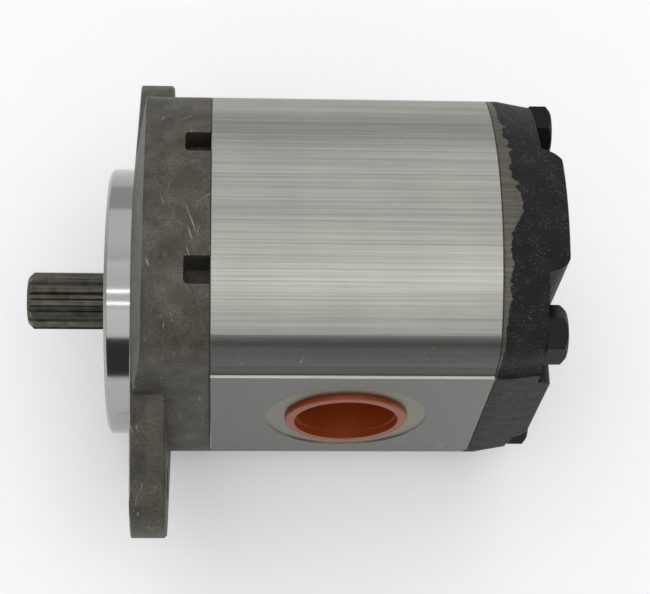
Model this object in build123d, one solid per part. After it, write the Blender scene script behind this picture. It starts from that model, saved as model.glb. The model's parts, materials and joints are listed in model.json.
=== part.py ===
from build123d import *
from math import acos, asin, cos, pi, radians, sin, sqrt, tan
import os

os.makedirs("parts", exist_ok=True)

# Frame: X runs along the drive shaft towards the rear cover, Z from the drive
# gear to the driven gear, and Y across the ports. The origin is the centre of
# the pilot spigot on the mounting face.

# SAE J744 "B" mount
PILOT_R = 50.8
PILOT_H = 9.6
BOLT_SPAN = 146.05
BOLT_HOLE_R = 7.15
EAR_R = 20.3
EAR_T = 13.0
HUB_R = 55.5

# body
JOINT_X = 28.5
REAR_X = 127.7
PITCH_R = 17.4
CENTRE_Z = PITCH_R
BODY_Z = CENTRE_Z + 1.7
HALF_W = 51.7
END_R = 71.8
CORNER_R = 17.0
PAD_Y = 53.8
PAD_HALF = 36.8
DRAIN_X = 19.6
MID_X = (JOINT_X + REAR_X) / 2

# gears
TEETH = 12
MODULE = 2 * PITCH_R / TEETH
PRESSURE = radians(25)
TIP_R = PITCH_R + MODULE
ROOT_R = PITCH_R - 1.22 * MODULE
BACKLASH = 0.16
GEAR_L = 46.0
BORE_R = TIP_R + 0.06
JOURNAL_R = 11.5
BUSH_R = 13.5
RUN = 0.03
SIDE_GAP = 0.05

# drive shaft, SAE "B" 13-tooth 16/32 spline
SHAFT_OUT = 41.2
SPLINE_R = 10.9
SPLINE_ROOT_R = 9.35
SPLINE_END = -8.6
SPLINE_TEETH = 13
NECK_R = 11.1

# tie bolts
TIE_Y = 40.0
TIE_Z = 41.5
TIE_MID_Z = CENTRE_Z + 4.5
TIE_R = 6.0
HEAD_AF = 18.0
HEAD_T = 7.5
SEAT_X = REAR_X + 16.0
TIE_SPOTS = [(sy * TIE_Y, TIE_MID_Z + sz * TIE_Z) for sy in (-1, 1) for sz in (-1, 1)]

# ports
INLET = dict(side=-1, bore=20.6, spot=29.4, core=13.0)
OUTLET = dict(side=1, bore=16.7, spot=24.6, core=11.0)
SPOT_DEPTH = 0.5
PORT_DEPTH = 20.0
PLUG_RIM = 1.75
PLUG_RIM_T = 1.8
PLUG_WALL = 1.05
PLUG_FIT = 1.4

# shaft seal, seen from the front: retaining ring, steel case, rubber lip
SEAL_R = 21.0
SEAL_X0 = -4.6
SEAL_X1 = 2.4


def rod(r, x0, x1, y=0.0, z=0.0):
    """Cylinder along X from x0 to x1."""
    return Pos(x0, y, z) * (Rot(0, 90, 0) * Cylinder(r, x1 - x0, align=(Align.CENTER, Align.CENTER, Align.MIN)))


def across(r, y0, y1, x=MID_X, z=CENTRE_Z):
    """Cylinder along Y from y0 to y1."""
    return Pos(x, (y0 + y1) / 2, z) * (Rot(90, 0, 0) * Cylinder(r, abs(y1 - y0)))


def tube(r, bore, x0, x1, y=0.0, z=0.0):
    return rod(r, x0, x1, y, z) - rod(bore, x0 - 1, x1 + 1, y, z)


def block(x0, x1, y0, y1, z0, z1):
    return Pos((x0 + x1) / 2, (y0 + y1) / 2, (z0 + z1) / 2) * Box(x1 - x0, y1 - y0, z1 - z0)


def slab(face, x0, x1):
    """Face drawn as (y, z) extruded from x0 to x1."""
    plane = Plane((x0, 0, 0), x_dir=(0, 1, 0), z_dir=(1, 0, 0))
    return extrude(plane * face, x1 - x0)


def hexagon(af, x0, x1, y, z, turn=0.0):
    flat = Pos(y, z) * Rot(0, 0, turn) * RegularPolygon(af / sqrt(3), 6)
    return slab(flat, x0, x1)


def end_outline(half_w, end_r, corner_r):
    """Body section: flat sides, a large arc at each end and a rounded corner between."""
    pc = half_w - corner_r
    gc = sqrt((end_r - corner_r) ** 2 - pc ** 2)
    ux, uz = pc / (end_r - corner_r), gc / (end_r - corner_r)
    bend = asin(uz) / 2
    mid = (pc + corner_r * cos(bend), gc + corner_r * sin(bend))
    tip = (pc + corner_r * ux, gc + corner_r * uz)
    edges = [
        Line((half_w, -gc), (half_w, gc)),
        ThreePointArc((half_w, gc), mid, tip),
        ThreePointArc(tip, (0, end_r), (-tip[0], tip[1])),
        ThreePointArc((-tip[0], tip[1]), (-mid[0], mid[1]), (-half_w, gc)),
        Line((-half_w, gc), (-half_w, -gc)),
        ThreePointArc((-half_w, -gc), (-mid[0], -mid[1]), (-tip[0], -tip[1])),
        ThreePointArc((-tip[0], -tip[1]), (0, -end_r), (tip[0], -tip[1])),
        ThreePointArc((tip[0], -tip[1]), (mid[0], -mid[1]), (half_w, -gc)),
    ]
    return Pos(0, BODY_Z) * make_face(Wire(edges))


def racetrack(r, x0, x1):
    """Stadium round both gear axes."""
    flat = Circle(r) + Pos(0, 2 * CENTRE_Z) * Circle(r) + Pos(0, CENTRE_Z) * Rectangle(2 * r, 2 * CENTRE_Z)
    return slab(flat, x0, x1)


def twin(r, x0, x1):
    """Two cylinders, one on each gear axis."""
    return rod(r, x0, x1) + rod(r, x0, x1, 0, 2 * CENTRE_Z)


def toothed(n, pitch_r, pressure, tip_r, root_r, thinning, length, start):
    """Involute teeth round the X axis, one centred at angle start from +Z."""
    base_r = pitch_r * cos(pressure)

    def inv(a):
        return tan(a) - a

    def half(r):
        a = acos(min(1.0, base_r / r))
        return pi / (2 * n) - thinning / (2 * pitch_r) + inv(pressure) - inv(a)

    low = max(base_r, root_r)
    radii = [low + (tip_r - low) * k / 7 for k in range(8)]
    edges = []
    for i in range(n):
        mid = start + 2 * pi * i / n

        def at(r, offset):
            return (r * sin(mid + offset), r * cos(mid + offset))

        rise = [at(r, -half(r)) for r in radii]
        fall = [at(r, half(r)) for r in reversed(radii)]
        foot = half(low)
        edges.append(Spline(rise))
        edges.append(ThreePointArc(rise[-1], at(tip_r, 0), fall[0]))
        edges.append(Spline(fall))
        if root_r < low:
            edges.append(Line(fall[-1], at(root_r, foot)))
            edges.append(Line(at(root_r, 2 * pi / n - foot), at(low, 2 * pi / n - foot)))
        gap = ThreePointArc(at(root_r, foot), at(root_r, pi / n), at(root_r, 2 * pi / n - foot))
        edges.append(gap)
    return extrude(Plane.YZ * make_face(Wire(edges)), length)


def raised(face, x0, x1, taper, rounding):
    """Tapered boss from x0 to x1 with a rounded rim at its top."""
    boss = extrude(Plane((x0, 0, 0), x_dir=(0, 1, 0), z_dir=(1, 0, 0)) * face, x1 - x0, taper=taper)
    return fillet(boss.faces().sort_by(Axis.X)[-1].outer_wire().edges(), rounding)


def save(name, shape):
    export_step(shape, f"parts/{name}.step")
    print(f"{name}: {len(shape.solids())} solid(s), {shape.volume:.0f} mm3")


# ---- mounting flange -------------------------------------------------------
section = end_outline(HALF_W, END_R, CORNER_R)
quarter = [(PAD_Y, PAD_HALF), (PAD_Y - 1.05, PAD_HALF + 0.45), (HALF_W - 0.5, PAD_HALF + 6.5)]
half_pad = [(y, -z) for y, z in reversed(quarter)] + quarter
pads = Pos(0, BODY_Z) * Polygon(*half_pad, *[(-y, -z) for y, z in half_pad], align=None)
ear_hull = make_hull((Circle(HUB_R) + [Pos(s * BOLT_SPAN / 2, 0) * Circle(EAR_R) for s in (-1, 1)]).edges())

flange = slab(section, 0, JOINT_X)
slope = (END_R + CENTRE_Z - HUB_R) / 5.6
flange &= Rot(0, 90, 0) * Cone(
    HUB_R, HUB_R + slope * JOINT_X, JOINT_X, align=(Align.CENTER, Align.CENTER, Align.MIN)
)
ears = slab(ear_hull, 0, EAR_T)
ears = chamfer(ears.faces().sort_by(Axis.X)[-1].edges(), 0.8)
flange += ears
pilot = chamfer(rod(PILOT_R, -PILOT_H, 0.5).faces().sort_by(Axis.X)[0].edges(), 1.1)
flange += pilot
for side in (-1, 1):
    flange -= rod(BOLT_HOLE_R, -1, EAR_T + 1, side * BOLT_SPAN / 2, 0)
    for end in (-1, 1):
        slot = block(DRAIN_X, JOINT_X + 1, -4.4, 4.4, -12.0, 12.0)
        slot = fillet(slot.edges().filter_by(Axis.Z).sort_by(Axis.X)[:2], 1.5)
        flange -= Pos(0, side * 24.0 - 2.6, BODY_Z + end * (END_R - 3.5)) * slot
flange -= rod(SEAL_R, -PILOT_H - 1, SEAL_X1)
flange -= rod(SEAL_R + 0.9, -6.7, -5.1)
flange -= rod(SPLINE_R + 2.6, SEAL_X1 - 1, JOINT_X + 1)
flange -= rod(JOURNAL_R + 1.5, JOINT_X - 6, JOINT_X + 1, 0, 2 * CENTRE_Z)
for y, z in TIE_SPOTS:
    flange -= rod(TIE_R, 8.5, JOINT_X + 1, y, z)

# ---- body ------------------------------------------------------------------
outline = make_face((section + pads).faces()[0].outer_wire())
body = slab(outline, JOINT_X, REAR_X)
ends = body.faces().sort_by(Axis.X)
body = chamfer(ends[0].edges() + ends[-1].edges(), 0.35)
body -= twin(BORE_R, JOINT_X - 1, REAR_X + 1)
for port in (INLET, OUTLET):
    s = port["side"]
    body -= across(port["spot"], s * (PAD_Y - SPOT_DEPTH), s * (PAD_Y + 2))
    body -= across(port["bore"], s * (PAD_Y - PORT_DEPTH), s * PAD_Y)
    body -= across(port["core"], s * 8, s * (PAD_Y - PORT_DEPTH + 1))
for y, z in TIE_SPOTS:
    body -= rod(TIE_R + 0.4, JOINT_X - 1, REAR_X + 1, y, z)

# ---- rear cover ------------------------------------------------------------
TOP_X = REAR_X + 24.3
dome = slab(outline, REAR_X, REAR_X + 4)
dome += extrude(Plane((REAR_X + 4, 0, 0), x_dir=(0, 1, 0), z_dir=(1, 0, 0)) * outline, 20.3, taper=10)
crown = slab(end_outline(HALF_W + 4, END_R + 5, CORNER_R + 6), REAR_X - 1, TOP_X)
crown = fillet(crown.faces().sort_by(Axis.X)[-1].outer_wire().edges(), 14.0)
dome &= crown
plate = slab(Rectangle(200, 300), REAR_X - 1, SEAT_X)
long_rib = raised(Pos(-2, BODY_Z) * RectangleRounded(48, 176, 14), SEAT_X - 1, TOP_X, 20, 8)
cross_rib = raised(Pos(0, BODY_Z) * RectangleRounded(150, 58, 14), SEAT_X - 1, TOP_X - 2.6, 20, 6)
cover = dome & (plate + long_rib + cross_rib)
for y, z in TIE_SPOTS:
    cover -= Pos(SEAT_X, y, z) * Rot(0, 90, 0) * Cone(
        14.5, 18.5, 10, align=(Align.CENTER, Align.CENTER, Align.MIN)
    )
    cover -= rod(TIE_R + 0.4, REAR_X - 1, SEAT_X + 1, y, z)
for z in (0, 2 * CENTRE_Z):
    cover -= rod(JOURNAL_R + 1.5, REAR_X - 1, REAR_X + 6, 0, z)

# ---- body seals and dowels at both joints ----------------------------------
for name, x, s in (("front_body_seal", JOINT_X, -1), ("rear_body_seal", REAR_X, 1)):
    x0, x1 = sorted((x, x + 2.0 * s))
    groove = racetrack(25.4, x0, x1) - racetrack(22.7, x0 - 1, x1 + 1)
    if s < 0:
        flange -= groove
    else:
        cover -= groove
    save(name, racetrack(25.3, x0, x1) - racetrack(22.8, x0 - 1, x1 + 1))
for name, x in (("front_dowels", JOINT_X), ("rear_dowels", REAR_X)):
    pins = []
    for side in (-1, 1):
        pin = rod(4.0, x - 8, x + 8, side * 43.5, CENTRE_Z)
        hole = rod(4.0, x - 8.5, x + 8.5, side * 43.5, CENTRE_Z)
        flange -= hole
        body -= hole
        cover -= hole
        ends = pin.edges().filter_by(GeomType.CIRCLE)
        pins.append(chamfer(ends, 0.6))
    save(name, Compound(children=pins))
save("mounting_flange", flange)
save("pump_body", body)
save("rear_cover", cover)

# ---- gears on their shafts -------------------------------------------------
GEAR_X0 = MID_X - GEAR_L / 2
GEAR_X1 = MID_X + GEAR_L / 2
gear = toothed(TEETH, PITCH_R, PRESSURE, TIP_R, ROOT_R, BACKLASH, GEAR_L, 0.0)
mate = toothed(TEETH, PITCH_R, PRESSURE, TIP_R, ROOT_R, BACKLASH, GEAR_L, pi / TEETH)
drive = Pos(GEAR_X0, 0, 0) * gear
drive += rod(JOURNAL_R, JOINT_X - 4, GEAR_X0 + 1)
drive += rod(JOURNAL_R, GEAR_X1 - 1, REAR_X + 3)
drive += rod(NECK_R, SPLINE_END, JOINT_X)
spline_r = 25.4 * SPLINE_TEETH / 32
spline = toothed(
    SPLINE_TEETH, spline_r, radians(30), SPLINE_R, SPLINE_ROOT_R, 0.05,
    SPLINE_END + SHAFT_OUT + 0.5, radians(27)
)
nose = Pos(-SHAFT_OUT, 0, 0) * Rot(0, 90, 0) * Cone(
    SPLINE_R - 2.0, SPLINE_R + 48, 50, align=(Align.CENTER, Align.CENTER, Align.MIN)
)
drive += (Pos(-SHAFT_OUT, 0, 0) * spline) & nose
drive -= Pos(-SHAFT_OUT, 0, 0) * Rot(0, 90, 0) * Cone(3.2, 0.0, 3.2, align=(Align.CENTER, Align.CENTER, Align.MIN))
save("drive_gear_shaft", drive)
driven = Pos(GEAR_X0, 0, 2 * CENTRE_Z) * mate
driven += rod(JOURNAL_R, JOINT_X - 4, GEAR_X0 + 1, 0, 2 * CENTRE_Z)
driven += rod(JOURNAL_R, GEAR_X1 - 1, REAR_X + 3, 0, 2 * CENTRE_Z)
save("driven_gear_shaft", driven)

# ---- bearing blocks, bushes and balance seals ------------------------------
half_plane = block(JOINT_X - 5, REAR_X + 5, -4, 60, -60, 120)
for end, x0, x1 in (
    ("front", JOINT_X, GEAR_X0 - SIDE_GAP),
    ("rear", GEAR_X1 + SIDE_GAP, REAR_X),
):
    outer = x0 if end == "front" else x1
    g0, g1 = (x0 - 1, x0 + 2.4) if end == "front" else (x1 - 2.4, x1 + 1)
    s0, s1 = (x0, x0 + 2.4) if end == "front" else (x1 - 2.4, x1)
    inner = x1 if end == "front" else x0
    bearing = twin(BORE_R - 0.03, x0, x1) - twin(BUSH_R, x0 - 1, x1 + 1)
    groove = (twin(18.6, g0, g1) - twin(15.0, g0 - 1, g1 + 1)) & half_plane
    bearing -= groove
    for side in (-1, 1):
        relief = block(inner - 1.5, inner + 1.5, -4, 4, CENTRE_Z - 3.5, CENTRE_Z + 3.5)
        bearing -= Pos(0, side * 7, 0) * relief
    save(f"{end}_bearing_block", bearing)
    seal = (twin(18.6, s0, s1) - twin(16.4, s0 - 1, s1 + 1)) & half_plane
    save(f"{end}_pressure_seal", seal)
    backup = (twin(16.4, s0, s1) - twin(15.0, s0 - 1, s1 + 1)) & half_plane
    save(f"{end}_backup_ring", backup)
    for which, z in (("drive", 0), ("driven", 2 * CENTRE_Z)):
        bush = tube(BUSH_R, JOURNAL_R + RUN, x0 + 0.2, x1 - 0.2, 0, z)
        save(f"{end}_{which}_bush", bush)

# ---- shaft seal ------------------------------------------------------------
case = tube(SEAL_R, SEAL_R - 1.2, SEAL_X0, SEAL_X1) + tube(SEAL_R, SPLINE_R + 3.2, SEAL_X1 - 1.2, SEAL_X1)
save("shaft_seal_case", case)
lip = tube(SEAL_R - 1.2, 15.6, SEAL_X0 + 0.4, SEAL_X0 + 2.2)
lip += tube(15.8, 14.4, SEAL_X0 + 0.4, SEAL_X1 - 1.4)
lip += tube(15.8, NECK_R + RUN, SEAL_X1 - 3.4, SEAL_X1 - 1.4)
save("shaft_seal_lip", lip)
spring = Pos(SEAL_X1 - 4.3, 0, 0) * Rot(0, 90, 0) * Torus(13.2, 0.7)
save("garter_spring", spring)
ring = tube(SEAL_R + 0.8, SEAL_R - 1.9, -6.6, -5.2)
ring += block(-6.6, -5.2, -6.5, 6.5, -SEAL_R - 0.2, -SEAL_R + 4.6) & rod(SEAL_R + 0.8, -6.6, -5.2)
ring -= block(-8, -4, -2.4, 2.4, -SEAL_R - 3, -SEAL_R + 6)
for side in (-1, 1):
    ring -= rod(1.0, -8, -4, side * 4.4, -SEAL_R + 3.0)
save("seal_retaining_ring", ring)

# ---- tie bolts -------------------------------------------------------------
bolts = []
for k, (y, z) in enumerate(TIE_SPOTS):
    head = hexagon(HEAD_AF, SEAT_X, SEAT_X + HEAD_T, y, z, 8 + 13 * k)
    crown = Pos(SEAT_X, y, z) * Rot(0, 90, 0) * Cone(
        HEAD_AF / 2 + 8.0, HEAD_AF / 2 - 0.4, HEAD_T, align=(Align.CENTER, Align.CENTER, Align.MIN)
    )
    shank = chamfer(rod(TIE_R, 10.0, SEAT_X + 1, y, z).faces().sort_by(Axis.X)[0].edges(), 1.0)
    bolts.append((head & crown) + shank)
save("tie_bolts", Compound(children=bolts))

# ---- port plugs ------------------------------------------------------------
for name, port in (("inlet_port_plug", INLET), ("outlet_port_plug", OUTLET)):
    s = port["side"]
    r = port["bore"] - PLUG_FIT
    face = PAD_Y - SPOT_DEPTH
    plug = across(port["bore"] + PLUG_RIM, s * face, s * (face + PLUG_RIM_T))
    plug = fillet(plug.edges().filter_by(GeomType.CIRCLE).sort_by(Axis.Y)[-1 if s > 0 else 0], 0.8)
    plug += across(r, s * (face - 15), s * face)
    plug -= across(r - PLUG_WALL + 0.8, s * (face + PLUG_RIM_T - 2.6), s * (face + 5))
    plug -= across(r - PLUG_WALL, s * (face - 13.6), s * (face + 5))
    save(name, plug)
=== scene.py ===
# %% [markdown]
# # A hydraulic gear pump
# The metal shapes of this pump arrive finished from its CAD model, one object
# for each real piece. What is left for Blender is how each piece looks: the
# castings, the extruded body, the paint, the plastic plugs, and the port
# threads, a small shape that is only worth making for the eye. Everything is
# in metres, and the pump's shaft runs along X.

# %% Load the pump
import json
import math

import bmesh
import bpy
from mathutils import Euler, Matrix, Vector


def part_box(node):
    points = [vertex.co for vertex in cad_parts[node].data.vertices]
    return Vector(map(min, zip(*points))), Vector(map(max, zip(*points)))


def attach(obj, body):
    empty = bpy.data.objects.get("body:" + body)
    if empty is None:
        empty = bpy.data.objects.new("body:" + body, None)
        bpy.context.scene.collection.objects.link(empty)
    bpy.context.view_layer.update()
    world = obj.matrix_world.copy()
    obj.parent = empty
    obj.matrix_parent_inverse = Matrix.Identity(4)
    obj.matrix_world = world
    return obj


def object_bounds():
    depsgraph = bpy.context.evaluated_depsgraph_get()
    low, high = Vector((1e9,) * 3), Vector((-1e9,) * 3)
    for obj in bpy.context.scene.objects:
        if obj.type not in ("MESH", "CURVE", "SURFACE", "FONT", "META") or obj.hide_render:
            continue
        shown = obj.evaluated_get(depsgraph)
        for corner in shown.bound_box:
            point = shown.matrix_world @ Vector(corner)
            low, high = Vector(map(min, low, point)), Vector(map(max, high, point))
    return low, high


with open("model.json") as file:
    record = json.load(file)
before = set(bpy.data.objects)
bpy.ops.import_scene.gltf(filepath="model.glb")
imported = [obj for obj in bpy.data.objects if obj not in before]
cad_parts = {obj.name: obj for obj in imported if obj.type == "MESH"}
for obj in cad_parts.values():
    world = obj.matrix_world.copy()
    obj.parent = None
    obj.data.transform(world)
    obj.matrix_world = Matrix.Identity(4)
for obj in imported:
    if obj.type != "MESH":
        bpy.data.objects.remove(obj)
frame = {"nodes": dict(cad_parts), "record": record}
cad_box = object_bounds()
MM = 0.001
print("pieces from CAD:", sorted(frame["nodes"]))

# %% [markdown]
# Colours are easiest to choose as the hex values of an image editor, which are
# sRGB. Shaders add light in linear values, so one function turns one into the
# other. A second small function adds a node, fills its sockets and returns one
# of its outputs, or all of them, which keeps every finish short enough to read.
# A Mix node has a set of sockets for each kind of data, and the sets share
# their names, so its colour sockets go by number.


# %% Colour and node helpers
def linear(code):
    """'#rrggbb' in sRGB as a linear RGBA value."""
    parts = [int(code[i : i + 2], 16) / 255 for i in (1, 3, 5)]
    return [c / 12.92 if c <= 0.04045 else ((c + 0.055) / 1.055) ** 2.4 for c in parts] + [1.0]


def add(tree, kind, inputs=None, out=0, **settings):
    """Adds a node, fills its sockets and returns one output, or all if out is None."""
    made = tree.nodes.new(kind)
    for name, value in settings.items():
        setattr(made, name, value)
    for name, value in (inputs or {}).items():
        if isinstance(value, bpy.types.NodeSocket):
            tree.links.new(value, made.inputs[name])
        else:
            made.inputs[name].default_value = value
    return made.outputs if out is None else made.outputs[out]


def new_finish(name):
    """A material with an empty node tree."""
    finish = bpy.data.materials.new(name)
    finish.use_nodes = True
    finish.node_tree.nodes.clear()
    return finish, finish.node_tree


LOW, HIGH = 6, 7  # a Mix node's two colour inputs
COLOUR = {"out": 2, "data_type": "RGBA"}  # and its colour output
print("white is", linear("#ffffff")[:3])

# %% [markdown]
# ## Phosphated cast iron
# The flange is a sand casting in grey iron, dipped in a phosphate bath that
# leaves it brown-grey and dull. The spigot that centres the pump, and the
# mounting face round it, were turned on a lathe afterwards and are bright.
# One material can carry both: everything in front of the mounting face is the
# turned metal, and everything behind it is the casting. The casting comes
# first: its colour is mottled over several millimetres, with darker grains.

# %% Flange finish: the casting's colour
iron, tree = new_finish("phosphated_cast_iron")
spot = add(tree, "ShaderNodeTexCoord", out="Object")
split = add(tree, "ShaderNodeSeparateXYZ", {0: spot}, out=None)
round_edge = add(tree, "ShaderNodeBevel", {"Radius": 0.5 * MM}, samples=4)

mottle = add(
    tree, "ShaderNodeTexNoise",
    {"Vector": spot, "Scale": 1 / (9 * MM), "Detail": 5.0, "Roughness": 0.65},
)
grain = add(
    tree, "ShaderNodeTexNoise",
    {"Vector": spot, "Scale": 1 / (0.7 * MM), "Detail": 3.0, "Roughness": 0.7},
)
mottle = add(tree, "ShaderNodeMapRange", {"Value": mottle, "From Min": 0.35, "From Max": 0.68})
casting = add(
    tree, "ShaderNodeMix",
    {"Factor": mottle, LOW: linear("#48453c"), HIGH: linear("#68655a")}, **COLOUR,
)
speck = add(
    tree, "ShaderNodeMapRange",
    {"Value": grain, "From Min": 0.42, "From Max": 0.72, "To Max": 0.75},
)
casting = add(
    tree, "ShaderNodeMix", {"Factor": speck, LOW: casting, HIGH: linear("#302e28")}, **COLOUR
)
print("casting colour:", len(tree.nodes), "nodes")

# %% [markdown]
# Handling leaves thin pale scratches in a few directions, in patches. A noise
# that is stretched into a long thin shape and cut off near its peaks gives a
# few lines, and each pass of the loop turns it another way. Small bright flecks
# are the middles of a few Voronoi cells, picked by the cell's random colour.

# %% Flange finish: scratches and flecks
SCRATCH = (16 * MM, 0.9 * MM, 4 * MM)  # a scratch's length and widths
where = add(tree, "ShaderNodeTexNoise", {"Vector": spot, "Scale": 1 / (14 * MM), "Detail": 2.0})
where = add(tree, "ShaderNodeMapRange", {"Value": where, "From Min": 0.46, "From Max": 0.56})
for tilt, rarity in ((1.35, 0.68), (1.9, 0.7), (0.6, 0.73)):
    turn = add(
        tree, "ShaderNodeMapping",
        {"Vector": spot, "Rotation": (0, 0, tilt), "Scale": SCRATCH}, vector_type="TEXTURE",
    )
    lines = add(tree, "ShaderNodeTexNoise", {"Vector": turn, "Scale": 1.0, "Detail": 2.0})
    lines = add(
        tree, "ShaderNodeMapRange",
        {"Value": lines, "From Min": rarity, "From Max": rarity + 0.04, "To Max": 0.8},
    )
    lines = add(tree, "ShaderNodeMath", {0: lines, 1: where}, operation="MULTIPLY")
    casting = add(
        tree, "ShaderNodeMix", {"Factor": lines, LOW: casting, HIGH: linear("#a39d8c")}, **COLOUR
    )

cell = add(tree, "ShaderNodeTexVoronoi", {"Vector": spot, "Scale": 1 / (2.2 * MM)}, out=None)
fleck = add(
    tree, "ShaderNodeMapRange", {"Value": cell["Distance"], "From Min": 0.1, "From Max": 0.04}
)
rare = add(tree, "ShaderNodeSeparateColor", {"Color": cell["Color"]})
rare = add(tree, "ShaderNodeMath", {0: rare, 1: 0.86}, operation="GREATER_THAN")
fleck = add(tree, "ShaderNodeMath", {0: fleck, 1: rare}, operation="MULTIPLY")
casting = add(
    tree, "ShaderNodeMix", {"Factor": fleck, LOW: casting, HIGH: linear("#b9b29c")}, **COLOUR
)
print("with scratches and flecks:", len(tree.nodes), "nodes")

# %% [markdown]
# The skin of the casting is pitted like the sand of its mould. Moulding sand
# is about 0.3 mm, too fine to show, so the pits are drawn 0.9 mm wide. They
# are deep on the front of the flange and shallow on its sides.

# %% Flange finish: the casting's skin
PITTED_FROM, PITTED_FULLY = 6.4 * MM, 5.6 * MM  # along the shaft, towards the front
pits = add(
    tree, "ShaderNodeTexNoise",
    {"Vector": spot, "Scale": 1 / (0.9 * MM), "Detail": 2.0, "Roughness": 0.6},
)
front = add(
    tree, "ShaderNodeMapRange",
    {"Value": split["X"], "From Min": PITTED_FROM, "From Max": PITTED_FULLY},
)
depth = add(tree, "ShaderNodeMath", {0: front, 1: 0.85, 2: 0.15}, operation="MULTIPLY_ADD")
pits = add(tree, "ShaderNodeMath", {0: pits, 1: depth}, operation="MULTIPLY")
rough_skin = add(
    tree, "ShaderNodeBump",
    {"Height": pits, "Normal": round_edge, "Strength": 0.9, "Distance": 0.5 * MM},
)
cast_iron = add(
    tree, "ShaderNodeBsdfPrincipled",
    {"Base Color": casting, "Metallic": 0.45, "Roughness": 0.55, "Normal": rough_skin},
)
print("cast skin:", len(tree.nodes), "nodes")

# %% [markdown]
# A lathe tool leaves fine rings round the shaft, so the noise is squeezed
# along X and the highlight is stretched round the axis by a radial tangent.
# Real rings are about 0.1 mm apart, and these are 0.4 mm apart so that they
# show. Oil has left a few brown stains.

# %% Flange finish: the turned spigot
RINGS = (2600, 12, 12)  # cells per metre
STAINS = (20, 34, 34)
TURNED_TO = 0.3 * MM  # the turned metal ends just behind the mounting face
ring = add(tree, "ShaderNodeMapping", {"Vector": spot, "Scale": RINGS})
ring = add(tree, "ShaderNodeTexNoise", {"Vector": ring, "Scale": 1.0, "Detail": 2.0})
stain = add(tree, "ShaderNodeMapping", {"Vector": spot, "Scale": STAINS})
stain = add(
    tree, "ShaderNodeTexNoise", {"Vector": stain, "Scale": 1.0, "Detail": 4.0, "Roughness": 0.7}
)
stain = add(
    tree, "ShaderNodeMapRange",
    {"Value": stain, "From Min": 0.52, "From Max": 0.74, "To Max": 0.55},
)
bright = add(
    tree, "ShaderNodeMix",
    {"Factor": stain, LOW: linear("#a3a4a2"), HIGH: linear("#766b58")}, **COLOUR,
)
lathe = add(
    tree, "ShaderNodeBump",
    {"Height": ring, "Normal": round_edge, "Strength": 0.25, "Distance": 0.05 * MM},
)
around = add(tree, "ShaderNodeTangent", direction_type="RADIAL", axis="X")
turned = add(
    tree, "ShaderNodeBsdfPrincipled",
    {"Base Color": bright, "Metallic": 1.0, "Roughness": 0.11, "Anisotropic": 0.3,
     "Tangent": around, "Normal": lathe},
)
ahead = add(tree, "ShaderNodeMath", {0: split["X"], 1: TURNED_TO}, operation="LESS_THAN")
both = add(tree, "ShaderNodeMixShader", {0: ahead, 1: cast_iron, 2: turned})
add(tree, "ShaderNodeOutputMaterial", {"Surface": both}, out=None)
print(iron.name, len(tree.nodes), "nodes")

# %% [markdown]
# ## Extruded aluminium
# The body is cut from a long extruded bar, so the die has drawn fine straight
# lines along it. A noise that is stretched along X draws them all at once, a
# second one adds broad bands, and a third clouds them. The real lines are
# under a tenth of a millimetre wide, and these are 0.8 mm so that they show.

# %% Body finish: the lines of the die
aluminium, tree = new_finish("extruded_aluminium")
spot = add(tree, "ShaderNodeTexCoord", out="Object")
split = add(tree, "ShaderNodeSeparateXYZ", {0: spot}, out=None)
round_edge = add(tree, "ShaderNodeBevel", {"Radius": 0.35 * MM}, samples=4)

DIE_LINES = (5, 1300, 1300)  # cells per metre: 200 mm long, 0.8 mm wide
DIE_BANDS = (2.5, 90, 90)  # 400 mm long, 11 mm wide
drawn = add(tree, "ShaderNodeMapping", {"Vector": spot, "Scale": DIE_LINES})
drawn = add(
    tree, "ShaderNodeTexNoise", {"Vector": drawn, "Scale": 1.0, "Detail": 4.0, "Roughness": 0.7}
)
broad = add(tree, "ShaderNodeMapping", {"Vector": spot, "Scale": DIE_BANDS})
broad = add(tree, "ShaderNodeTexNoise", {"Vector": broad, "Scale": 1.0, "Detail": 2.0})
cloud = add(tree, "ShaderNodeTexNoise", {"Vector": spot, "Scale": 1 / (30 * MM), "Detail": 4.0})
streak = add(tree, "ShaderNodeMath", {0: drawn, 1: 0.6}, operation="MULTIPLY")
streak = add(tree, "ShaderNodeMath", {0: broad, 1: 0.25, 2: streak}, operation="MULTIPLY_ADD")
streak = add(tree, "ShaderNodeMath", {0: cloud, 1: 0.15, 2: streak}, operation="MULTIPLY_ADD")
streak = add(tree, "ShaderNodeMapRange", {"Value": streak, "From Min": 0.4, "From Max": 0.6})
bar = add(
    tree, "ShaderNodeMix",
    {"Factor": streak, LOW: linear("#94948e"), HIGH: linear("#b0b0a9")}, **COLOUR,
)
print("die lines:", len(tree.nodes), "nodes")

# %% [markdown]
# The long rounded corners look darker than the rest of the bar, because they
# mirror something dark around them. The die may have dragged there, or they
# may only mirror something dark. That dark reflection is painted into the
# colour itself here, from where the corner starts up to the bevel of the pad.

# %% Body finish: the painted dark reflection on the corners
CORNER_FROM, CORNER_FULLY = 45.5 * MM, 50 * MM  # to each side of the middle
BEVEL_DEPTH = 1.0 * MM
pad_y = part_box("pump_body")[1][1]
side = add(tree, "ShaderNodeMath", {0: split["Y"]}, operation="ABSOLUTE")
painted_corner_shade = add(
    tree, "ShaderNodeMapRange", {"Value": side, "From Min": CORNER_FROM, "From Max": CORNER_FULLY}
)
bevel = add(tree, "ShaderNodeMath", {0: side, 1: pad_y - BEVEL_DEPTH}, operation="LESS_THAN")
painted_corner_shade = add(tree, "ShaderNodeMath", {0: painted_corner_shade, 1: bevel}, operation="MULTIPLY")
# painted shade: the corners' dark reflection drawn as a darker colour
bar = add(tree, "ShaderNodeMix", {"Factor": painted_corner_shade, LOW: bar, HIGH: linear("#575755")}, **COLOUR)
print("pads at y:", pad_y)
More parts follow.
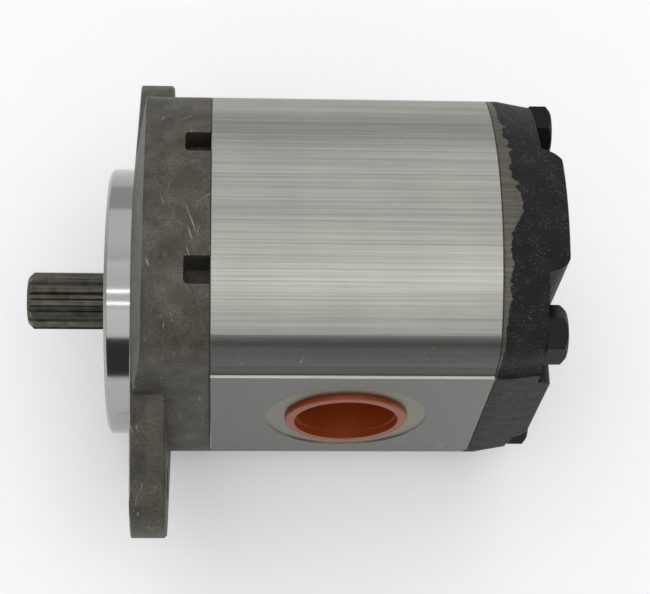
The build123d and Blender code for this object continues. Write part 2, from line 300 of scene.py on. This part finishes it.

# %% [markdown]
# The two sides that carry ports were milled flat and are a cooler, plainer
# grey, made darker still as painted shade, since they face sideways, away from
# the lamps overhead. The ring that a port's seal sits on was spot-faced and is
# lighter again. A face is milled if it lies far enough out and looks straight along Y.
# The distance from the port's axis finds the ring, which is larger at the
# inlet than at the outlet.

# %% Body finish: milled pads with painted shade, and spot faces
INLET_SEAT, OUTLET_SEAT = 29.4 * MM, 24.6 * MM  # radii of the spot faces
PAD_DEPTH = 0.6 * MM
STRAIGHT = 0.98
port_low, port_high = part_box("inlet_port_plug")
port_x, port_z = (port_low[0] + port_high[0]) / 2, (port_low[2] + port_high[2]) / 2
normal = add(tree, "ShaderNodeTexCoord", out="Normal")
facing = add(tree, "ShaderNodeSeparateXYZ", {0: normal}, out=None)
square = add(tree, "ShaderNodeMath", {0: facing["Y"]}, operation="ABSOLUTE")
square = add(tree, "ShaderNodeMath", {0: square, 1: STRAIGHT}, operation="GREATER_THAN")
milled = add(tree, "ShaderNodeMath", {0: side, 1: pad_y - PAD_DEPTH}, operation="GREATER_THAN")
milled = add(tree, "ShaderNodeMath", {0: milled, 1: square}, operation="MULTIPLY")
away = add(tree, "ShaderNodeCombineXYZ", {"X": split["X"], "Z": split["Z"]})
away = add(
    tree, "ShaderNodeVectorMath", {0: away, 1: (port_x, 0, port_z)},
    out="Value", operation="DISTANCE",
)
seat_radius = add(
    tree, "ShaderNodeMapRange",
    {"Value": split["Y"], "From Min": -1 * MM, "From Max": 1 * MM,
     "To Min": INLET_SEAT, "To Max": OUTLET_SEAT},
)
faced = add(tree, "ShaderNodeMath", {0: away, 1: seat_radius}, operation="LESS_THAN")
cutter = add(tree, "ShaderNodeTexNoise", {"Vector": spot, "Scale": 1 / (0.5 * MM), "Detail": 3.0})
# the milled grey, darkened as painted shade on these sideways faces
pad_grey_and_shade = add(
    tree, "ShaderNodeMix",
    {"Factor": cutter, LOW: linear("#62625e"), HIGH: linear("#74736f")}, **COLOUR,
)
seat = add(
    tree, "ShaderNodeMix",
    {"Factor": cloud, LOW: linear("#696757"), HIGH: linear("#8b8a7d")}, **COLOUR,
)
pad_grey_and_shade = add(tree, "ShaderNodeMix", {"Factor": faced, LOW: pad_grey_and_shade, HIGH: seat}, **COLOUR)
skin = add(tree, "ShaderNodeMix", {"Factor": milled, LOW: bar, HIGH: pad_grey_and_shade}, **COLOUR)
print("ports at x, z:", port_x, port_z)

# %% [markdown]
# Soft aluminium scratches easily, so the same kind of stretched noise draws
# faint bright scratches in the cloudier patches, and a coarse noise leaves a
# little grime. The die lines are also slight grooves, but not on milled faces.

# %% Body finish: wear, grooves and shader
SCRATCH = (22 * MM, 0.6 * MM, 5 * MM)
patch = add(tree, "ShaderNodeMapRange", {"Value": cloud, "From Min": 0.48, "From Max": 0.58})
for tilt, rarity in ((0.5, 0.7), (2.3, 0.71), (1.2, 0.73)):
    turn = add(
        tree, "ShaderNodeMapping",
        {"Vector": spot, "Rotation": (0, 0, tilt), "Scale": SCRATCH}, vector_type="TEXTURE",
    )
    scratch = add(tree, "ShaderNodeTexNoise", {"Vector": turn, "Scale": 1.0, "Detail": 2.0})
    scratch = add(
        tree, "ShaderNodeMapRange",
        {"Value": scratch, "From Min": rarity, "From Max": rarity + 0.05, "To Max": 0.3},
    )
    scratch = add(tree, "ShaderNodeMath", {0: scratch, 1: patch}, operation="MULTIPLY")
    skin = add(
        tree, "ShaderNodeMix", {"Factor": scratch, LOW: skin, HIGH: linear("#e2e2dc")}, **COLOUR
    )

grime = add(
    tree, "ShaderNodeTexNoise",
    {"Vector": spot, "Scale": 1 / (11 * MM), "Detail": 6.0, "Roughness": 0.75},
)
grime = add(
    tree, "ShaderNodeMapRange",
    {"Value": grime, "From Min": 0.66, "From Max": 0.8, "To Max": 0.45},
)
skin = add(tree, "ShaderNodeMix", {"Factor": grime, LOW: skin, HIGH: linear("#5d574a")}, **COLOUR)

flat = add(tree, "ShaderNodeMath", {0: 1.0, 1: milled}, operation="SUBTRACT")
grooves = add(tree, "ShaderNodeMath", {0: drawn, 1: flat}, operation="MULTIPLY")
grooves = add(
    tree, "ShaderNodeBump",
    {"Height": grooves, "Normal": round_edge, "Strength": 0.5, "Distance": 0.06 * MM},
)
sheen = add(tree, "ShaderNodeMapRange", {"Value": streak, "To Min": 0.36, "To Max": 0.3})
metal = add(
    tree, "ShaderNodeBsdfPrincipled",
    {"Base Color": skin, "Metallic": 0.92, "Roughness": sheen, "Normal": grooves},
)
add(tree, "ShaderNodeOutputMaterial", {"Surface": metal}, out=None)
print(aluminium.name, len(tree.nodes), "nodes")

# %% [markdown]
# ## Black paint on a rough casting
# The rear cover is a sand casting under one thin coat of black paint, so the
# sand grain shows through as bumps, and the tips of the grains glint. The
# glints are cells of a Voronoi texture again, and there are more of them where
# the casting's lumps stand out. Grains and glints are drawn coarser than real
# sand so that they show.

# %% Cover finish: paint over sand
paint, tree = new_finish("painted_sand_casting")
spot = add(tree, "ShaderNodeTexCoord", out="Object")
split = add(tree, "ShaderNodeSeparateXYZ", {0: spot}, out=None)
round_edge = add(tree, "ShaderNodeBevel", {"Radius": 1.2 * MM}, samples=4)

sand = add(
    tree, "ShaderNodeTexNoise",
    {"Vector": spot, "Scale": 1 / (0.9 * MM), "Detail": 3.0, "Roughness": 0.7},
)
lumps = add(tree, "ShaderNodeTexNoise", {"Vector": spot, "Scale": 1 / (6 * MM), "Detail": 3.0})
relief = add(tree, "ShaderNodeMath", {0: lumps, 1: 1.5, 2: sand}, operation="MULTIPLY_ADD")
coat = add(
    tree, "ShaderNodeMix",
    {"Factor": lumps, LOW: linear("#171717"), HIGH: linear("#2f2f2f")}, **COLOUR,
)
cell = add(tree, "ShaderNodeTexVoronoi", {"Vector": spot, "Scale": 1 / (0.55 * MM)}, out=None)
glint = add(
    tree, "ShaderNodeMapRange", {"Value": cell["Distance"], "From Min": 0.42, "From Max": 0.16}
)
rare = add(tree, "ShaderNodeSeparateColor", {"Color": cell["Color"]})
few = add(
    tree, "ShaderNodeMapRange",
    {"Value": lumps, "From Min": 0.35, "From Max": 0.65, "To Min": 0.95, "To Max": 0.62},
)
rare = add(tree, "ShaderNodeMath", {0: rare, 1: few}, operation="GREATER_THAN")
glint = add(tree, "ShaderNodeMath", {0: glint, 1: rare}, operation="MULTIPLY")
glint = add(tree, "ShaderNodeMath", {0: glint, 1: sand}, operation="MULTIPLY")
coat = add(tree, "ShaderNodeMix", {"Factor": glint, LOW: coat, HIGH: linear("#85847f")}, **COLOUR)
grain = add(
    tree, "ShaderNodeBump",
    {"Height": relief, "Normal": round_edge, "Strength": 1.0, "Distance": 0.6 * MM},
)
painted = add(
    tree, "ShaderNodeBsdfPrincipled",
    {"Base Color": coat, "Roughness": 0.5, "Specular IOR Level": 0.14, "Normal": grain},
)
print("paint:", len(tree.nodes), "nodes")

# %% [markdown]
# Before it was painted, the cover's joint edge was machined, and the paint
# stops short of the joint in a wavy line. The bare band is on the end where
# the driven gear lies, and is widest in the middle. So the band's width is a
# noise, made smaller to the sides and away from that end.

# %% Cover finish: the bare machined edge
WIDTHS = {"To Min": 0.8 * MM, "To Max": 10.5 * MM}  # of the bare band
SIDES, CENTRE = 47 * MM, 5 * MM  # distances from the middle of the cover
BARE_FROM, BARE_FULLY = 52 * MM, 72 * MM  # along Z
TOOL_LINES = (60, 1100, 1100)  # cells per metre
joint_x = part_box("rear_cover")[0][0]
wavy = add(
    tree, "ShaderNodeTexNoise",
    {"Vector": spot, "Scale": 1 / (16 * MM), "Detail": 6.0, "Roughness": 0.7},
)
middle = add(tree, "ShaderNodeMath", {0: split["Y"]}, operation="ABSOLUTE")
middle = add(
    tree, "ShaderNodeMapRange",
    {"Value": middle, "From Min": SIDES, "From Max": CENTRE, "To Min": 0.25, "To Max": 1.0},
)
near = add(
    tree, "ShaderNodeMapRange",
    {"Value": split["Z"], "From Min": BARE_FROM, "From Max": BARE_FULLY},
)
middle = add(tree, "ShaderNodeMath", {0: middle, 1: near}, operation="MULTIPLY")
edge = add(
    tree, "ShaderNodeMapRange", {"Value": wavy, "From Min": 0.3, "From Max": 0.75, **WIDTHS}
)
edge = add(tree, "ShaderNodeMath", {0: edge, 1: middle}, operation="MULTIPLY")
edge = add(tree, "ShaderNodeMath", {0: edge, 1: joint_x}, operation="ADD")
bare = add(tree, "ShaderNodeMath", {0: split["X"], 1: edge}, operation="LESS_THAN")
ruled = add(tree, "ShaderNodeMapping", {"Vector": spot, "Scale": TOOL_LINES})
ruled = add(tree, "ShaderNodeTexNoise", {"Vector": ruled, "Scale": 1.0, "Detail": 2.0})
bare_iron = add(
    tree, "ShaderNodeMix",
    {"Factor": ruled, LOW: linear("#3a3934"), HIGH: linear("#787568")}, **COLOUR,
)
cut = add(
    tree, "ShaderNodeBump",
    {"Height": ruled, "Normal": round_edge, "Strength": 0.5, "Distance": 0.1 * MM},
)
machined = add(
    tree, "ShaderNodeBsdfPrincipled",
    {"Base Color": bare_iron, "Metallic": 0.7, "Roughness": 0.45, "Normal": cut},
)
both = add(tree, "ShaderNodeMixShader", {0: bare, 1: painted, 2: machined})
add(tree, "ShaderNodeOutputMaterial", {"Surface": both}, out=None)
print(paint.name, len(tree.nodes), "nodes, joint at x:", joint_x)

# %% [markdown]
# ## Gear steel
# The shafts are case-hardened steel. Heat treatment leaves a dark brown-grey
# skin, and the hob that cut the spline drew lines along it, so the noise is
# stretched along the shaft again, with lines 0.7 mm wide so that they show.

# %% Shaft finish: hardened steel with tool lines along it
HOB_LINES = (30, 1500, 1500)  # cells per metre
steel, tree = new_finish("hardened_gear_steel")
spot = add(tree, "ShaderNodeTexCoord", out="Object")
round_edge = add(tree, "ShaderNodeBevel", {"Radius": 0.3 * MM}, samples=4)
hob = add(tree, "ShaderNodeMapping", {"Vector": spot, "Scale": HOB_LINES})
hob = add(
    tree, "ShaderNodeTexNoise", {"Vector": hob, "Scale": 1.0, "Detail": 3.0, "Roughness": 0.6}
)
patch = add(tree, "ShaderNodeTexNoise", {"Vector": spot, "Scale": 1 / (4 * MM), "Detail": 4.0})
shade = add(tree, "ShaderNodeMath", {0: hob, 1: 0.6}, operation="MULTIPLY")
shade = add(tree, "ShaderNodeMath", {0: patch, 1: 0.4, 2: shade}, operation="MULTIPLY_ADD")
shade = add(tree, "ShaderNodeMapRange", {"Value": shade, "From Min": 0.35, "From Max": 0.65})
dark = add(
    tree, "ShaderNodeMix",
    {"Factor": shade, LOW: linear("#35332d"), HIGH: linear("#69675d")}, **COLOUR,
)
tool = add(
    tree, "ShaderNodeBump",
    {"Height": hob, "Normal": round_edge, "Strength": 0.4, "Distance": 0.06 * MM},
)
hard = add(
    tree, "ShaderNodeBsdfPrincipled",
    {"Base Color": dark, "Metallic": 0.85, "Roughness": 0.42, "Normal": tool},
)
add(tree, "ShaderNodeOutputMaterial", {"Surface": hard}, out=None)
print(steel.name, len(tree.nodes), "nodes")

# %% [markdown]
# ## Black-oxide bolts
# Hexagon bolts are forged and then blackened in a hot salt bath. The skin is
# nearly black with a soft oily gloss, and the wrench flats are slightly uneven.

# %% Bolt finish: black oxide
oxide, tree = new_finish("black_oxide_steel")
spot = add(tree, "ShaderNodeTexCoord", out="Object")
round_edge = add(tree, "ShaderNodeBevel", {"Radius": 0.6 * MM}, samples=4)
uneven = add(
    tree, "ShaderNodeTexNoise",
    {"Vector": spot, "Scale": 1 / (1.6 * MM), "Detail": 3.0, "Roughness": 0.6},
)
black = add(
    tree, "ShaderNodeMix",
    {"Factor": uneven, LOW: linear("#0f0f11"), HIGH: linear("#222226")}, **COLOUR,
)
oily = add(tree, "ShaderNodeMapRange", {"Value": uneven, "To Min": 0.25, "To Max": 0.5})
forged = add(
    tree, "ShaderNodeBump",
    {"Height": uneven, "Normal": round_edge, "Strength": 0.45, "Distance": 0.25 * MM},
)
bolt_skin = add(
    tree, "ShaderNodeBsdfPrincipled",
    {"Base Color": black, "Metallic": 0.8, "Roughness": oily, "Normal": forged},
)
add(tree, "ShaderNodeOutputMaterial", {"Surface": bolt_skin}, out=None)
print(oxide.name, len(tree.nodes), "nodes")

# %% [markdown]
# ## Orange polyethylene
# The shipping plugs are moulded in soft polyethylene. Light goes a little way
# into it, which a small amount of subsurface scattering gives, and the wax in
# the plastic keeps its gloss low and uneven.

# %% Plug finish: moulded polyethylene
plastic, tree = new_finish("orange_polyethylene")
spot = add(tree, "ShaderNodeTexCoord", out="Object")
round_edge = add(tree, "ShaderNodeBevel", {"Radius": 0.35 * MM}, samples=4)
wax = add(tree, "ShaderNodeTexNoise", {"Vector": spot, "Scale": 1 / (7 * MM), "Detail": 5.0})
fine = add(tree, "ShaderNodeTexNoise", {"Vector": spot, "Scale": 1 / (0.6 * MM), "Detail": 2.0})
tint = add(
    tree, "ShaderNodeMix",
    {"Factor": wax, LOW: linear("#83330a"), HIGH: linear("#9c430f")}, **COLOUR,
)
gloss = add(tree, "ShaderNodeMapRange", {"Value": wax, "To Min": 0.3, "To Max": 0.5})
moulded = add(
    tree, "ShaderNodeBump",
    {"Height": fine, "Normal": round_edge, "Strength": 0.15, "Distance": 0.1 * MM},
)
soft = add(
    tree, "ShaderNodeBsdfPrincipled",
    {"Base Color": tint, "Roughness": gloss, "IOR": 1.51, "Subsurface Weight": 0.06,
     "Subsurface Radius": (0.9, 0.3, 0.1), "Subsurface Scale": 0.8 * MM, "Normal": moulded},
)
add(tree, "ShaderNodeOutputMaterial", {"Surface": soft}, out=None)
print(plastic.name, len(tree.nodes), "nodes")

# %% [markdown]
# ## The hidden metals, rubber and nylon
# The parts inside the pump show only when it is taken apart, but each still
# gets what it is made of. They differ in a colour pair, a grain size and a few
# shader values, so one table and one loop make them all.

# %% Inner finishes
INNER = {  # two colours, grain in mm, metallic, roughness
    "die_cast_aluminium": ("#a3a5a6", "#bcbdbd", 0.8, 1.0, 0.4),
    "bush_bronze": ("#8c6a3c", "#b08a52", 0.5, 1.0, 0.35),
    "seal_rubber": ("#121212", "#1f1f20", 0.9, 0.0, 0.6),
    "backup_nylon": ("#cfc9ac", "#e0dbc2", 0.7, 0.0, 0.45),
    "seal_case_steel": ("#6f7072", "#8b8c8e", 0.6, 1.0, 0.32),
    "spring_steel": ("#4a4a4c", "#6a6a6d", 0.5, 1.0, 0.35),
    "dowel_steel": ("#9b9c9e", "#b4b5b6", 0.4, 1.0, 0.25),
}
inner = {}
for name, (darker, lighter, grain_mm, metallic, roughness) in INNER.items():
    inner[name], tree = new_finish(name)
    spot = add(tree, "ShaderNodeTexCoord", out="Object")
    edge = add(tree, "ShaderNodeBevel", {"Radius": 0.25 * MM}, samples=4)
    grit = add(
        tree, "ShaderNodeTexNoise", {"Vector": spot, "Scale": 1 / (grain_mm * MM), "Detail": 3.0}
    )
    tone = add(
        tree, "ShaderNodeMix",
        {"Factor": grit, LOW: linear(darker), HIGH: linear(lighter)}, **COLOUR,
    )
    skin = add(
        tree, "ShaderNodeBump",
        {"Height": grit, "Normal": edge, "Strength": 0.2, "Distance": 0.08 * MM},
    )
    look = add(
        tree, "ShaderNodeBsdfPrincipled",
        {"Base Color": tone, "Metallic": metallic, "Roughness": roughness, "Normal": skin},
    )
    add(tree, "ShaderNodeOutputMaterial", {"Surface": look}, out=None)
print("inner finishes:", sorted(inner))

# %% [markdown]
# Every CAD piece knows the slot of the parts list that its material belongs
# to, so the finishes are handed out by that name.

# %% Hand out the finishes
FINISHES = {
    "phosphated_iron": iron,
    "extruded_aluminium": aluminium,
    "black_painted_iron": paint,
    "gear_steel": steel,
    "black_bolt_steel": oxide,
    "orange_plastic": plastic,
    **inner,
}
for part in frame["record"]["subparts"]:
    for place in frame["nodes"][part["node"]].material_slots:
        place.material = FINISHES[part["material_slot"]]

# %% [markdown]
# ## Port threads
# Behind each shipping plug the port has a straight thread with twelve turns to
# the inch, which shows when the plug is pulled. A tap cuts it, so its shape
# follows a rule: a trapezoid carried along a helix. Geometry Nodes do exactly
# that, with a spiral curve, a four-sided profile and Curve to Mesh, and one
# tree with named inputs makes both sizes. The first half of the tree is the
# helix. It runs at the middle of the tooth, whose foot stands a tenth of its
# height inside the wall of the bore, so that no gap shows behind it.

# %% Thread tree: inputs and helix
TOOTH_MIDDLE = 0.4  # from the bore's wall, as a share of the tooth's height
STEPS_A_TURN = 56
thread = bpy.data.node_groups.new("port_thread", "GeometryNodeTree")
thread.interface.new_socket(name="Thread", in_out="OUTPUT", socket_type="NodeSocketGeometry")
for name in ("Bore Radius", "Tooth Height", "Pitch", "Turns"):
    thread.interface.new_socket(name=name, in_out="INPUT", socket_type="NodeSocketFloat")
for name in ("Place", "Tilt"):
    thread.interface.new_socket(name=name, in_out="INPUT", socket_type="NodeSocketVector")
thread.interface.new_socket(name="Finish", in_out="INPUT", socket_type="NodeSocketMaterial")
given = add(thread, "NodeGroupInput", out=None)
inset = add(
    thread, "ShaderNodeMath", {0: given["Tooth Height"], 1: TOOTH_MIDDLE}, operation="MULTIPLY"
)
middle = add(thread, "ShaderNodeMath", {0: given["Bore Radius"], 1: inset}, operation="SUBTRACT")
climb = add(
    thread, "ShaderNodeMath", {0: given["Pitch"], 1: given["Turns"]}, operation="MULTIPLY"
)
helix = add(
    thread, "GeometryNodeCurveSpiral",
    {"Resolution": STEPS_A_TURN, "Rotations": given["Turns"],
     "Start Radius": middle, "End Radius": middle, "Height": climb},
)
helix = add(thread, "GeometryNodeSetCurveNormal", {"Curve": helix}, mode="Z_UP")
print(thread.name, "has", len(thread.nodes), "nodes so far")

# %% [markdown]
# The second half is the tooth. Its foot is four fifths of the pitch wide and
# its crest one fifth. The trapezoid is turned a quarter so that the narrow
# crest points at the bore's axis: turned the other way it would look much the
# same from outside, but the thread would be inside out.

# %% Thread tree: tooth and output
ROOT_SHARE, CREST_SHARE = 0.8, 0.2  # of the pitch
root_width = add(
    thread, "ShaderNodeMath", {0: given["Pitch"], 1: ROOT_SHARE}, operation="MULTIPLY"
)
crest_width = add(
    thread, "ShaderNodeMath", {0: given["Pitch"], 1: CREST_SHARE}, operation="MULTIPLY"
)
tooth = add(
    thread, "GeometryNodeCurvePrimitiveQuadrilateral",
    {"Height": given["Tooth Height"], "Bottom Width": root_width, "Top Width": crest_width,
     "Offset": 0.0},
    mode="TRAPEZOID",
)
tooth = add(
    thread, "GeometryNodeTransform", {"Geometry": tooth, "Rotation": (0, 0, -math.pi / 2)}
)
ridge = add(
    thread, "GeometryNodeCurveToMesh",
    {"Curve": helix, "Profile Curve": tooth, "Fill Caps": True},
)
ridge = add(
    thread, "GeometryNodeTransform",
    {"Geometry": ridge, "Translation": given["Place"], "Rotation": given["Tilt"]},
)
ridge = add(thread, "GeometryNodeRealizeInstances", {"Geometry": ridge})
ridge = add(thread, "GeometryNodeSetMaterial", {"Geometry": ridge, "Material": given["Finish"]})
add(thread, "NodeGroupOutput", {"Thread": ridge}, out=None)
print(thread.name, "inputs:", [socket.name for socket in given if socket.name])

# %% [markdown]
# Each port's bore is found from its plug, whose rim covers the bore's edge by
# a known amount. Twelve turns to the inch is a pitch of 2.117 mm. A modifier
# keeps its inputs under identifiers, so those are looked up by name. The result
# is copied to a plain mesh, and its normals are made to point out of the metal.

# %% Threads in both ports
RIM_OVERLAP = 1.75 * MM
PITCH = 25.4 / 12 * MM
TURNS = 8.2
TOOTH_HEIGHT = 1.15 * MM
THREAD_DEPTH = 19 * MM  # from the milled pad to the thread's inner end
for port, outward in (("inlet", -1), ("outlet", 1)):
    low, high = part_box(f"{port}_port_plug")
    bore = (high[0] - low[0]) / 2 - RIM_OVERLAP
    start = (port_x, outward * (pad_y - THREAD_DEPTH), port_z)
    values = {
        "Bore Radius": bore, "Tooth Height": TOOTH_HEIGHT, "Pitch": PITCH, "Turns": TURNS,
        "Place": start, "Tilt": (-outward * math.pi / 2, 0, 0), "Finish": aluminium,
    }
    holder = bpy.data.objects.new("thread_maker", bpy.data.meshes.new("empty"))
    bpy.context.scene.collection.objects.link(holder)
    grow = holder.modifiers.new("thread", "NODES")
    grow.node_group = thread
    for item in thread.interface.items_tree:
        if item.in_out == "INPUT":
            grow[item.identifier] = values[item.name]
    grown = holder.evaluated_get(bpy.context.evaluated_depsgraph_get())
    mesh = bpy.data.meshes.new_from_object(grown)
    holder.modifiers.remove(grow)
    bpy.data.objects.remove(holder)
    work = bmesh.new()
    work.from_mesh(mesh)
    bmesh.ops.recalc_face_normals(work, faces=work.faces)
    work.to_mesh(mesh)
    work.free()
    mesh.shade_smooth()
    mesh.set_sharp_from_angle(angle=math.radians(30))
    piece = bpy.data.objects.new(f"{port}_port_thread", mesh)
    bpy.context.scene.collection.objects.link(piece)
    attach(piece, "housing")
    radii = [math.hypot(v.co.x - port_x, v.co.z - port_z) for v in mesh.vertices]
    print(piece.name, len(mesh.polygons), "faces, radii", *(round(f(radii), 5) for f in (min, max)))

# %% [markdown]
# ## The camera
# A long lens from about two thirds of a metre shows the pump with little
# perspective. It looks down on the end where the driven gear lies, with the
# inlet port towards the lower edge of the view.

# %% Camera
VIEW_ANGLES = (24.392, -3.339, -1.047)  # degrees
camera = bpy.data.objects.new("camera", bpy.data.cameras.new("camera"))
camera.data.sensor_width = 36
camera.data.lens = 93.84
camera.location = (0.03266, -0.26882, 0.59871)
camera.rotation_euler = Euler([math.radians(angle) for angle in VIEW_ANGLES])
bpy.context.scene.collection.objects.link(camera)
bpy.context.scene.camera = camera
print("camera", tuple(camera.location))

# %% [markdown]
# ## Floor and light
# The pump stands on a light table, a white sheet that glows a little, so its
# shadow stays faint. The floor lies half a millimetre lower than the pump, so
# the two never share a plane.

# %% Floor
REACH = 4.0
FLOOR_GAP = 0.5 * MM
floor_z = cad_box[0][2] - FLOOR_GAP
corners = [(-REACH, -REACH), (REACH, -REACH), (REACH, REACH), (-REACH, REACH)]
floor_mesh = bpy.data.meshes.new("floor")
floor_mesh.from_pydata([(x, y, floor_z) for x, y in corners], [], [(0, 1, 2, 3)])
floor = bpy.data.objects.new("floor", floor_mesh)
bpy.context.scene.collection.objects.link(floor)
floor_look, tree = new_finish("white_sweep")
pale = add(
    tree, "ShaderNodeBsdfPrincipled",
    {"Base Color": linear("#fbfbfb"), "Roughness": 0.9,
     "Emission Color": linear("#ffffff"), "Emission Strength": 0.2},
)
add(tree, "ShaderNodeOutputMaterial", {"Surface": pale}, out=None)
floor_mesh.materials.append(floor_look)
print("floor at z:", floor_z)

# %% [markdown]
# The surround is dim on the inlet side and bright on the outlet side, which
# gives the rounded metal something to mirror. Colours are shown as they are,
# with the plain Standard view.

# %% Surround
DIM, LIT = 0.06, 0.6
world = bpy.data.worlds.new("surround")
world.use_nodes = True
tree = world.node_tree
tree.nodes.clear()
direction = add(tree, "ShaderNodeTexCoord", out="Generated")
facing = add(tree, "ShaderNodeSeparateXYZ", {0: direction}, out=None)
wall = add(
    tree, "ShaderNodeMapRange",
    {"Value": facing["Y"], "From Min": -0.7, "From Max": 0.5, "To Min": DIM, "To Max": LIT},
)
glow = add(tree, "ShaderNodeBackground", {"Color": linear("#ffffff"), "Strength": wall})
add(tree, "ShaderNodeOutputWorld", {"Surface": glow}, out=None)
bpy.context.scene.world = world
bpy.context.scene.view_settings.view_transform = "Standard"
print("surround from", DIM, "to", LIT)

# %% [markdown]
# Three broad soft panels hang side by side above the pump, each stronger than
# the last towards the inlet side. Two narrow strips of light draw the bright
# bands along the turned metal. All five shine straight down, and a lamp's power
# is its brightness times its area.

# %% Lights
LAMPS = {  # place, size, brightness
    "front_panel": ((0.05, -1.45, 1.45), (2.8, 1.2), 1.12),
    "middle_panel": ((0.05, -0.3, 1.45), (2.8, 1.1), 0.7),
    "rear_panel": ((0.05, 1.4, 1.45), (2.8, 2.3), 0.44),
    "strip_rear": ((0.05, -0.4, 1.4), (1.6, 0.03), 6.5),
    "strip_front": ((0.05, -0.68, 1.4), (1.6, 0.03), 6.5),
}
for name, (place, size, brightness) in LAMPS.items():
    lamp = bpy.data.lights.new(name, "AREA")
    lamp.shape = "RECTANGLE"
    lamp.size, lamp.size_y = size
    lamp.energy = brightness * math.pi * size[0] * size[1]
    holder = bpy.data.objects.new(name, lamp)
    holder.location = place
    bpy.context.scene.collection.objects.link(holder)
print(len(LAMPS), "lamps")
